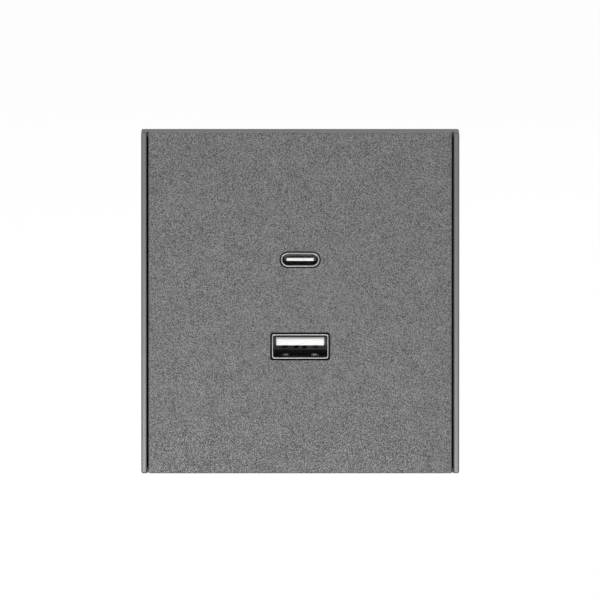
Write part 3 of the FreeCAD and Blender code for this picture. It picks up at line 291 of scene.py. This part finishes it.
def satin_paint(colour):
    """The same anthracite, smooth on the flanks, matt with painted shade on both ends, and black inside:
    unpainted moulding with painted shade in the slots.
    """
    finish = Finish("satin_paint", IOR=1.45, Metallic=0.7)
    even = finish.shade(finish.noise(6.0, detail=3.0), *tones(colour, 0.96, 1.04))
    # Both end faces also get a darker tone, which is painted shade, besides their matt roughness
    ends = abs(finish.up).between(END - 0.25, END - 0.05)
    painted = finish.shade(ends, even, tone(colour, 0.82))
    # Behind the front, the flanks' inner walls turn black: unpainted moulding and painted shade in the
    # slots
    behind = finish.depth.between(FACE + 0.7, FACE + 4.0)
    within = 1 - abs(finish.up).between(END - 0.2, END - 0.05)
    inside = behind * within * (1 - abs(finish.across).between(*FLANK_WALL))
    finish.set("Base Color", finish.shade(inside, painted, UNPAINTED_BLACK_AND_SHADE))
    finish.set("Roughness", 0.38 + finish.noise(0.8, detail=2.0) * 0.06 + (inside + ends) * 0.4)
    finish.bump(finish.noise(1.2, detail=1.0), 0.004, strength=0.5)
    return finish.material


def outlet_moulding(colour):
    """White plastic of both tongues, darkened in the wide outlet's depth by painted shade, with a painted
    black shadow at the foot of its base.
    """
    finish = Finish("white_tongue", IOR=1.5, Specular_IOR_Level=0.2)
    fine = finish.noise(0.25, detail=2.0)
    pale = finish.shade(fine, *tones(colour, 0.96, 1.03))
    # Painted shade: the wide outlet's tongue and base turn dark behind its front
    rear = finish.depth.between(*DARK_BASE) * (1 - finish.up.between(*BETWEEN_OUTLETS))
    # Painted shadow: black at the foot of the base, grey painted shade above it
    dark = finish.shade(finish.up.between(*BASE_SHADE), INSULATOR_DEEP, INSULATOR_SHADED)
    finish.set("Base Color", finish.shade(rear, pale, dark))
    finish.set("Roughness", 0.35 + fine * 0.1)
    finish.bump(fine, 0.004, strength=0.5)
    return finish.material


def fine_moulding(name, colour, roughness, grain=0.25, depth=0.012, **sockets):
    """Moulded plastic with the fine matt grain of an eroded tool, and faint flow marks."""
    finish = Finish(name, IOR=1.5, **sockets)
    flow = finish.noise(9.0, detail=4.0, stretch=(1, 1, 3))
    fine = finish.noise(grain, detail=2.0)
    finish.set("Base Color", finish.shade(flow * 0.7 + fine * 0.3, *tones(colour, 0.82, 1.18)))
    finish.set("Roughness", roughness - 0.05 + fine * 0.1)
    finish.bump(fine, depth, strength=0.6)
    return finish.material


def rolled_metal(name, colour, roughness, streak=ROLLED_ACROSS, depth=0.006):
    """Sheet metal with fine rolling lines and a slightly cloudy surface."""
    finish = Finish(name, Metallic=1.0)
    lines = finish.noise(0.35, detail=3.0, stretch=streak)
    clouds = finish.noise(5.0, detail=3.0)
    mask = lines * 0.5 + clouds * 0.5
    finish.set("Base Color", finish.shade(mask, *tones(colour, 0.86, 1.08)))
    finish.set("Roughness", roughness - 0.08 + mask * 0.16)
    finish.bump(lines, depth, strength=0.4)
    return finish.material


def bright_metal(name, colour, roughness, highlight_mask=None):
    """Drawn and plated metal with faint drawing lines, lighter and rougher where a mask paints a highlight.
    """
    finish = Finish(name, Metallic=1.0)
    lines = finish.noise(0.12, detail=2.0, stretch=(1, 12, 1))
    painted_highlight = highlight_mask(finish) if highlight_mask else 0.0
    plated = finish.shade(lines, *tones(colour, 0.94, 1.04))
    # Where the mask says so, the metal is painted much lighter: a painted highlight
    finish.set("Base Color", finish.shade(painted_highlight, plated, tone(colour, 2.8)))
    finish.set("Roughness", roughness - 0.03 + finish.noise(0.7, detail=3.0) * 0.07 + painted_highlight * 0.25)
    finish.set("Metallic", 1 - painted_highlight * 0.5)
    finish.bump(lines, 0.002, strength=0.3)
    return finish.material


def finger_highlights(finish):
    """A mask of the painted highlights on the bows of both spring fingers in the wide outlet's floor."""
    off_middle = abs(abs(finish.across) - FINGER_MIDDLE)
    side = 1 - off_middle.between(*FINGER_SIDE)
    core = 1 - off_middle.between(*FINGER_CORE)
    bow = finish.up.between(*BOW_FOOT) * (1 - finish.up.between(*BOW_CROWN))
    return (side * 0.2 + core * 0.8) * bow * finish.depth.between(*BOW_START)


def lacquered_board(colour):
    """A circuit board: tracks as a paler net under green lacquer."""
    finish = Finish("lacquered_board", IOR=1.5, Coat_Weight=0.6, Coat_Roughness=0.2)
    mesh_width = 2.6 * MM
    net = finish.node("ShaderNodeTexVoronoi", {"feature": "DISTANCE_TO_EDGE", "distance": "CHEBYCHEV"},
                      {"Vector": finish.place, "Scale": 1 / mesh_width})
    track = 1 - net.between(0.03, 0.06)
    finish.set("Base Color", finish.shade(track * 0.8, colour, tone(colour, 2.2)))
    finish.set("Roughness", 0.42 - track * 0.1)
    finish.bump(track, 0.02, strength=0.5)
    return finish.material


def wound_wire(name, colour, pitch, metallic):
    """Turns of wire or tape, one beside the other, as fine ribs along the depth, with painted shade in the
    grooves between turns.
    """
    finish = Finish(name, IOR=1.5, Metallic=metallic, Coat_Weight=0.5, Coat_Roughness=0.15)
    waves_to_pitch = 3.2
    ribs = finish.node("ShaderNodeTexWave", {"bands_direction": "Y", "wave_profile": "SIN"},
                       {"Vector": finish.place, "Scale": 1 / (pitch * MM) / waves_to_pitch,
                        "Distortion": 0.2})
    # The ribs' grooves are painted darker: painted shade between the turns
    finish.set("Base Color", finish.shade(ribs, *tones(colour, 0.55, 1.1)))
    finish.set("Roughness", 0.34 + finish.noise(0.6, detail=2.0) * 0.1)
    finish.bump(ribs, 0.05, strength=0.8)
    return finish.material


def ground_ferrite(colour):
    """Sintered ferrite: dark, dense, with small bright pits where it was ground."""
    finish = Finish("ground_ferrite", IOR=1.8)
    pits = finish.noise(0.18, detail=4.0).between(0.56, 0.68)
    finish.set("Base Color", finish.shade(pits, colour, tone(colour, 2.6)))
    finish.set("Roughness", 0.5 - pits * 0.2)
    finish.bump(finish.noise(0.3, detail=4.0), 0.01, strength=0.5)
    return finish.material


def glossy_shell(name, colour, roughness, ripple):
    """A smooth glossy skin, such as a sleeve, a dipped coat or a potted case."""
    finish = Finish(name, IOR=1.5, Coat_Weight=0.7, Coat_Roughness=0.08)
    waves = finish.noise(ripple, detail=2.0)
    finish.set("Base Color", finish.shade(waves, *tones(colour, 0.85, 1.12)))
    finish.set("Roughness", roughness + waves * 0.08)
    finish.bump(waves, 0.03, strength=0.4)
    return finish.material


def fired_ceramic(colour):
    """An unglazed ceramic tube with faint specks."""
    finish = Finish("fired_ceramic", IOR=1.5)
    specks = finish.noise(0.22, detail=3.0).between(0.6, 0.72)
    finish.set("Base Color", finish.shade(specks, colour, tone(colour, 0.6)))
    finish.set("Roughness", 0.5 + finish.noise(0.9, detail=2.0) * 0.12)
    finish.bump(finish.noise(0.4, detail=3.0), 0.008, strength=0.4)
    return finish.material


# Pieces

def joined_copy(node):
    """A node's solid as a new mesh whose loose triangles are joined into flat faces."""
    shape = bmesh.new()
    shape.from_mesh(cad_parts[node].data)
    bmesh.ops.remove_doubles(shape, verts=shape.verts, dist=MERGE)
    bmesh.ops.dissolve_limit(shape, angle_limit=FLAT_ANGLE, verts=shape.verts, edges=shape.edges)
    return shape


def round_edges(shape, radius, segments, wanted=lambda edge: True):
    """Round the sharp edges of a mesh that pass a test."""
    edges = [edge for edge in shape.edges
             if edge.is_manifold and edge.calc_face_angle(0) > EDGE_ANGLE and wanted(edge)]
    bmesh.ops.bevel(shape, geom=edges, offset=radius * MM, offset_type="OFFSET", affect="EDGES",
                    segments=segments, profile=0.5, clamp_overlap=True, material=-1)


def finish_piece(shape, name, material, nodes):
    """Make a mesh an object that stands for its nodes."""
    bmesh.ops.dissolve_degenerate(shape, dist=SLIVER, edges=shape.edges)
    mesh = bpy.data.meshes.new(name)
    for face in shape.faces:
        face.smooth = True
    shape.to_mesh(mesh)
    shape.free()
    mesh.set_sharp_from_angle(angle=SMOOTH_ANGLE)
    mesh.materials.append(material)
    piece = bpy.data.objects.new(name, mesh)
    bpy.context.scene.collection.objects.link(piece)
    weigh = piece.modifiers.new("face_weighted", "WEIGHTED_NORMAL")
    weigh.keep_sharp = True
    weigh.weight = NORMAL_WEIGHT
    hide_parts(*nodes)
    return piece


def refined(node, name, material, radius, segments=EDGE_STEPS, body="charger",
            front_radius=0.0, reshape=None):
    """A node's solid with softly rounded edges, as a piece of its own that rides on its body.

    Reshape changes the unrounded solid first, and a front radius rounds the front's edges more than the
    others.
    """
    shape = joined_copy(node)
    if reshape:
        reshape(shape)
    if front_radius:
        depth = min(vert.co.y for vert in shape.verts) + FRONT_EDGES * MM
        round_edges(shape, front_radius, FRONT_STEPS,
                    lambda edge: all(vert.co.y < depth for vert in edge.verts))
    round_edges(shape, radius, segments)
    piece = finish_piece(shape, name, material, [node])
    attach(piece, body)


def bending_leaf(pole, material, radius):
    """A leaf clip with rounded edges, cut across at several heights and left without a body."""
    shape = joined_copy(f"clip_{pole}")
    round_edges(shape, radius, EDGE_STEPS)
    for level in LEAF_LEVELS:
        everything = shape.verts[:] + shape.edges[:] + shape.faces[:]
        bmesh.ops.bisect_plane(shape, geom=everything, dist=MERGE, plane_co=(0, 0, level * MM),
                               plane_no=(0, 0, 1))
    piece = finish_piece(shape, f"{pole}_leaf_clip", material, [f"clip_{pole}"])
    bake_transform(piece)


def spring_bows(shape, drop):
    """Bow the wide outlet's contacts further out of their grooves."""
    lowest = min(vert.co.z for vert in shape.verts)
    bows = [vert for vert in shape.verts if vert.co.z < lowest + BOW_SHEET * MM]
    bmesh.ops.translate(shape, verts=bows, vec=(0, 0, -drop * MM))


def narrow_slots(shape, fill):
    """Bring the inner side of both flanks, with its chamfer, nearer to the plate."""
    plate_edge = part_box("front_plate")[1].x
    for vert in shape.verts:
        if 0 < abs(vert.co.x) - plate_edge < INNER_SIDE * MM:
            vert.co.x -= math.copysign(fill * MM, vert.co.x)


def paint(material, *nodes):
    """Give carried-over nodes one material."""
    for node in nodes:
        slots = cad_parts[node].data.materials
        slots.clear()
        slots.append(material)


# Settings

def length(name, description, default):
    """A setting for a length in millimetres."""
    return bpy.props.FloatProperty(name=name, description=description, default=default, min=0.0)


def colour_setting(name, description, default):
    """A setting for a colour."""
    return bpy.props.FloatVectorProperty(name=name, description=description, default=default,
                                         subtype="COLOR", size=3, min=0.0, max=1.0)


class FrontSettings(bpy.types.PropertyGroup):
    plate_colour: colour_setting("Plate colour", "Colour of the grained plate", (0.131, 0.131, 0.131))
    grain: length("Grain", "Size of the plate's grain in millimetres", 0.15)
    grain_depth: length("Grain depth", "Relief of the plate's grain in millimetres", 0.05)
    plate_round: length("Plate edge", "Rounding of the plate's edges in millimetres", 0.06)
    flank_colour: colour_setting("Flank colour", "Colour of the smooth flanks", (0.132, 0.132, 0.13))
    slot_fill: length("Slot fill", "How much nearer the flanks are to the plate, in millimetres", 0.18)
    flank_round: length("Flank edge", "Rounding of the flanks' front edges in millimetres", 0.12)


class OutletSettings(bpy.types.PropertyGroup):
    shell_colour: colour_setting("Shell colour", "Colour of both plated shells", (0.32, 0.32, 0.32))
    shell_round: length("Shell rim", "Rounding of the shells' rims in millimetres", 0.13)
    insulator_colour: colour_setting("Insulator colour", "Colour of both tongues", (0.77, 0.77, 0.76))
    # The contacts are made nearly black: painted shade deep in the outlets, not the gilt's own colour
    shaded_contact_colour: colour_setting("Contact colour", "Colour of the dull gilded contacts",
                                   (0.064, 0.05, 0.026))
    bow_drop: length("Contact bows",
                     "How much further the wide outlet's contacts are bowed, in millimetres", 0.4)
    cover_colour: colour_setting("Cover colour", "Colour of the black mouldings", (0.012, 0.012, 0.012))


class RearSettings(bpy.types.PropertyGroup):
    steel_colour: colour_setting("Steel colour", "Colour of the support bracket", (0.62, 0.63, 0.63))
    terminal_colour: colour_setting("Terminal colour", "Colour of the terminals", (0.35, 0.35, 0.36))
    button_colour: colour_setting("Button colour", "Colour of the release buttons", (0.85, 0.3, 0.04))
    housing_round: length("Housing edge", "Rounding of the housing's edges in millimetres", 0.25)


class StageSettings(bpy.types.PropertyGroup):
    distance: bpy.props.FloatProperty(name="Distance", description="Camera to the plate's middle",
                                      default=6.0, unit="LENGTH")
    elevation: bpy.props.FloatProperty(name="Elevation", description="Height of the camera as an angle",
                                       default=math.radians(5.4), subtype="ANGLE")
    view_width: bpy.props.FloatProperty(name="View width", description="Width of the picture at the plate",
                                        default=138.58 * MM, unit="LENGTH")
    ambient: bpy.props.FloatProperty(name="Ambient", description="Strength of the even light", default=0.3)


# Operators

class CHARGER_OT_front(bpy.types.Operator):
    """Make the grained plate and the frame with its two smooth flanks"""

    bl_idname = "charger.front"
    bl_label = "Front plate and flanks"

    def execute(self, context):
        front = context.scene.charger_front
        grained = grained_paint(front.plate_colour, front.grain, front.grain_depth)
        refined("front_plate", "grained_plate", grained, front.plate_round)
        satin = satin_paint(front.flank_colour)
        refined("flank_frame", "smooth_flanks", satin, radius=0.06,
                front_radius=front.flank_round, reshape=lambda shape: narrow_slots(shape, front.slot_fill))
        return {"FINISHED"}


class CHARGER_OT_outlets(bpy.types.Operator):
    """Make the black cover and both outlets with their shells, tongues and contacts"""

    bl_idname = "charger.outlets"
    bl_label = "Cover and outlets"

    def execute(self, context):
        outlet = context.scene.charger_outlets
        black = fine_moulding("black_moulding", outlet.cover_colour, roughness=0.6,
                              Specular_IOR_Level=0.25)
        refined("insert_cover", "black_cover", black, radius=0.08)
        bright = bright_metal("plated_shell", outlet.shell_colour, roughness=0.2,
                              highlight_mask=finger_highlights)
        refined("usb_a_shell", "wide_outlet_shell", bright, outlet.shell_round, RIM_STEPS)
        refined("usb_c_shell", "small_outlet_shell", bright, outlet.shell_round, RIM_STEPS)
        white = outlet_moulding(outlet.insulator_colour)
        refined("usb_a_insulator", "wide_outlet_tongue", white, radius=0.05,
                front_radius=0.12)
        refined("usb_c_insulator", "small_outlet_tongue", white, radius=0.05,
                front_radius=0.25)
        # Gilt made nearly black as painted shade
        gilt = bright_metal("gilded_contact", outlet.shaded_contact_colour, roughness=0.24)
        refined("usb_a_contacts", "wide_outlet_contacts", gilt, radius=0.04,
                reshape=lambda shape: spring_bows(shape, outlet.bow_drop))
        refined("usb_c_contacts", "small_outlet_contacts", gilt, radius=0.015, segments=1)
        return {"FINISHED"}


class CHARGER_OT_rear(bpy.types.Operator):
    """Make the support bracket, the rear housing, the terminals and the screws"""

    bl_idname = "charger.rear"
    bl_label = "Bracket, housing and terminals"

    def execute(self, context):
        rear = context.scene.charger_rear
        zinc = rolled_metal("zinc_sheet", rear.steel_colour, roughness=0.36)
        refined("support_bracket", "steel_bracket", zinc, radius=0.12)
        black = fine_moulding("housing_moulding", HOUSING_BLACK, roughness=0.5, grain=0.4, depth=0.02)
        refined("rear_housing", "moulded_housing", black, rear.housing_round)
        grey = fine_moulding("terminal_moulding", rear.terminal_colour, roughness=0.45)
        refined("terminal_lid", "entry_lid", grey, radius=0.12)
        refined("terminal_block", "chamber_block", grey, radius=0.12)
        orange = fine_moulding("button_moulding", rear.button_colour, roughness=0.4)
        for pole in ("live", "neutral"):
            refined(f"release_button_{pole}", f"{pole}_release", orange, radius=0.12,
                    body=f"{pole}_button")
        brass = rolled_metal("brass_strip", BRASS, roughness=0.3, streak=ROLLED_DEEP)
        spring = rolled_metal("spring_strip", SPRING_STEEL, roughness=0.25, streak=ROLLED_DEEP, depth=0.003)
        for pole in ("live", "neutral"):
            refined(f"busbar_{pole}", f"{pole}_busbar", brass, radius=0.08)
            bending_leaf(pole, spring, radius=0.06)
        screw = rolled_metal("plated_screw", SCREW_STEEL, roughness=0.3, streak=UNROLLED)
        refined("cover_screws", "closing_screws", screw, radius=0.1)
        return {"FINISHED"}


class CHARGER_OT_circuits(bpy.types.Operator):
    """Give the boards and what stands on them their materials"""

    bl_idname = "charger.circuits"
    bl_label = "Boards and parts"

    def execute(self, context):
        paint(lacquered_board(BOARD_GREEN), "port_board", "power_board")
        black = fine_moulding("chip_moulding", CHIP_BLACK, roughness=0.6, grain=0.12, depth=0.006)
        paint(black, "link_base", "transformer_bobbin", "switch_chip", "outlet_chip_upper",
              "outlet_chip_lower", "bridge_rectifier")
        pale = fine_moulding("pale_moulding", COUPLER_CREAM, roughness=0.5, grain=0.12, depth=0.006)
        paint(pale, "optocoupler")
        paint(bright_metal("gilded_pin", GOLD, roughness=0.25), "link_pins")
        paint(ground_ferrite(FERRITE), "transformer_core", "choke_core")
        paint(wound_wire("yellow_tape", TAPE_YELLOW, pitch=1.2, metallic=0.0), "transformer_winding")
        paint(wound_wire("copper_turns", COPPER, pitch=0.5, metallic=0.85), "choke_winding")
        paint(glossy_shell("dark_sleeve", SLEEVE_BLACK, roughness=0.25, ripple=6.0), "output_capacitor_1",
              "output_capacitor_2", "input_capacitor_1", "input_capacitor_2")
        paint(glossy_shell("blue_dip", DIP_BLUE, roughness=0.2, ripple=2.0), "safety_capacitor", "varistor")
        paint(glossy_shell("yellow_case", CASE_YELLOW, roughness=0.22, ripple=4.0), "film_capacitor")
        paint(fired_ceramic(CERAMIC), "fuse")
        return {"FINISHED"}


class CHARGER_OT_stage(bpy.types.Operator):
    """Set the floor, the lamps, the world and the camera"""

    bl_idname = "charger.stage"
    bl_label = "Floor, light and camera"

    def execute(self, context):
        stage = context.scene.charger_stage
        lay_floor(CAD_LOW.z - FLOOR_DROP)
        light_world(stage.ambient)
        for name, (place, target, size, power) in LAMPS.items():
            add_lamp(name, place, target, size, power)
        aim_camera(stage)
        context.scene.view_settings.view_transform = "Standard"
        return {"FINISHED"}


def lay_floor(level):
    """A wide pale floor that the camera and every reflection see as white."""
    shape = bmesh.new()
    bmesh.ops.create_circle(shape, cap_ends=True, segments=FLOOR_SIDES, radius=FLOOR_RADIUS)
    bmesh.ops.translate(shape, verts=shape.verts, vec=(0, 0, level))
    mesh = bpy.data.meshes.new("floor")
    shape.to_mesh(mesh)
    shape.free()
    floor = bpy.data.objects.new("floor", mesh)
    bpy.context.scene.collection.objects.link(floor)
    finish = Finish("pale_floor", Roughness=0.9)
    finish.set("Base Color", finish.shade(finish.noise(400.0, detail=2.0), *FLOOR_TONES))
    glow = finish.node("ShaderNodeEmission", None, {"Color": WHITE, "Strength": FLOOR_GLOW})
    seen = finish.node("ShaderNodeLightPath", output="Is Camera Ray") \
        + finish.node("ShaderNodeLightPath", output="Is Glossy Ray") \
        + finish.node("ShaderNodeLightPath", output="Is Transmission Ray")
    surface = Value(finish.tree, finish.surface.outputs[0])
    mixed = finish.node("ShaderNodeMixShader", None, {0: seen * GLOW_SHARE, 1: surface, 2: glow})
    finish.tree.links.new(mixed.socket, finish.output.inputs["Surface"])
    mesh.materials.append(finish.material)


def light_world(ambient):
    """White where it is seen or mirrored, and softer as light."""
    world = bpy.data.worlds.new("studio")
    bpy.context.scene.world = world
    world.use_nodes = True
    tree = world.node_tree
    sky = tree.nodes["Background"]
    feed(tree, sky.inputs["Color"], WHITE)
    rays = tree.nodes.new("ShaderNodeLightPath")
    seen = Value(tree, rays.outputs["Is Camera Ray"]) + Value(tree, rays.outputs["Is Transmission Ray"])
    mirrored = Value(tree, rays.outputs["Is Glossy Ray"])
    bright = seen + mirrored + (1 - seen - mirrored) * ambient
    feed(tree, sky.inputs["Strength"], bright)


def add_lamp(name, place, target, size, power):
    """A soft lamp of a width and a height that faces a point."""
    lamp = bpy.data.lights.new(name, "AREA")
    lamp.shape = "RECTANGLE"
    lamp.size, lamp.size_y = size
    lamp.energy = power
    holder = bpy.data.objects.new(name, lamp)
    bpy.context.scene.collection.objects.link(holder)
    holder.location = place
    toward = Vector(target) - Vector(place)
    holder.rotation_euler = toward.to_track_quat("-Z", "Y").to_euler()
    holder.visible_camera = False


def aim_camera(stage):
    """Put the camera in front of the plate, a little above it, as the picture was taken."""
    camera = bpy.data.cameras.new("camera")
    camera.lens = camera.sensor_width * stage.distance / stage.view_width
    camera.dof.use_dof = False
    camera.clip_start, camera.clip_end = CAMERA_RANGE
    holder = bpy.data.objects.new("camera", camera)
    bpy.context.scene.collection.objects.link(holder)
    target = Vector((AIM_ACROSS * MM, CAD_LOW.y, AIM_UP * MM))
    away = Vector((0.0, -math.cos(stage.elevation), math.sin(stage.elevation)))
    holder.location = target + away * stage.distance
    holder.rotation_euler = (-away).to_track_quat("-Z", "Y").to_euler()
    bpy.context.scene.camera = holder


class CHARGER_PT_panel(bpy.types.Panel):
    """Lists the steps that dress and light the insert"""

    bl_idname = "CHARGER_PT_panel"
    bl_label = "Wall charger insert"
    bl_space_type = "VIEW_3D"
    bl_region_type = "UI"
    bl_category = "Charger"

    def draw(self, context):
        for step in STEPS:
            self.layout.operator(step.bl_idname)


SETTINGS = {
    "charger_front": FrontSettings,
    "charger_outlets": OutletSettings,
    "charger_rear": RearSettings,
    "charger_stage": StageSettings,
}
STEPS = (CHARGER_OT_front, CHARGER_OT_outlets, CHARGER_OT_rear, CHARGER_OT_circuits, CHARGER_OT_stage)


def register():
    """Register the settings, the steps and the panel."""
    for name, group in SETTINGS.items():
        bpy.utils.register_class(group)
        setattr(bpy.types.Scene, name, bpy.props.PointerProperty(type=group))
    for step in STEPS:
        bpy.utils.register_class(step)
    bpy.utils.register_class(CHARGER_PT_panel)


def unregister():
    """Take the panel, the steps and the settings away again."""
    bpy.utils.unregister_class(CHARGER_PT_panel)
    for step in reversed(STEPS):
        bpy.utils.unregister_class(step)
    for name, group in SETTINGS.items():
        delattr(bpy.types.Scene, name)
        bpy.utils.unregister_class(group)


def main():
    """Make every piece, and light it."""
    register()
    bpy.ops.charger.front()
    bpy.ops.charger.outlets()
    bpy.ops.charger.rear()
    bpy.ops.charger.circuits()
    bpy.ops.charger.stage()


if __name__ == "__main__":
    main()
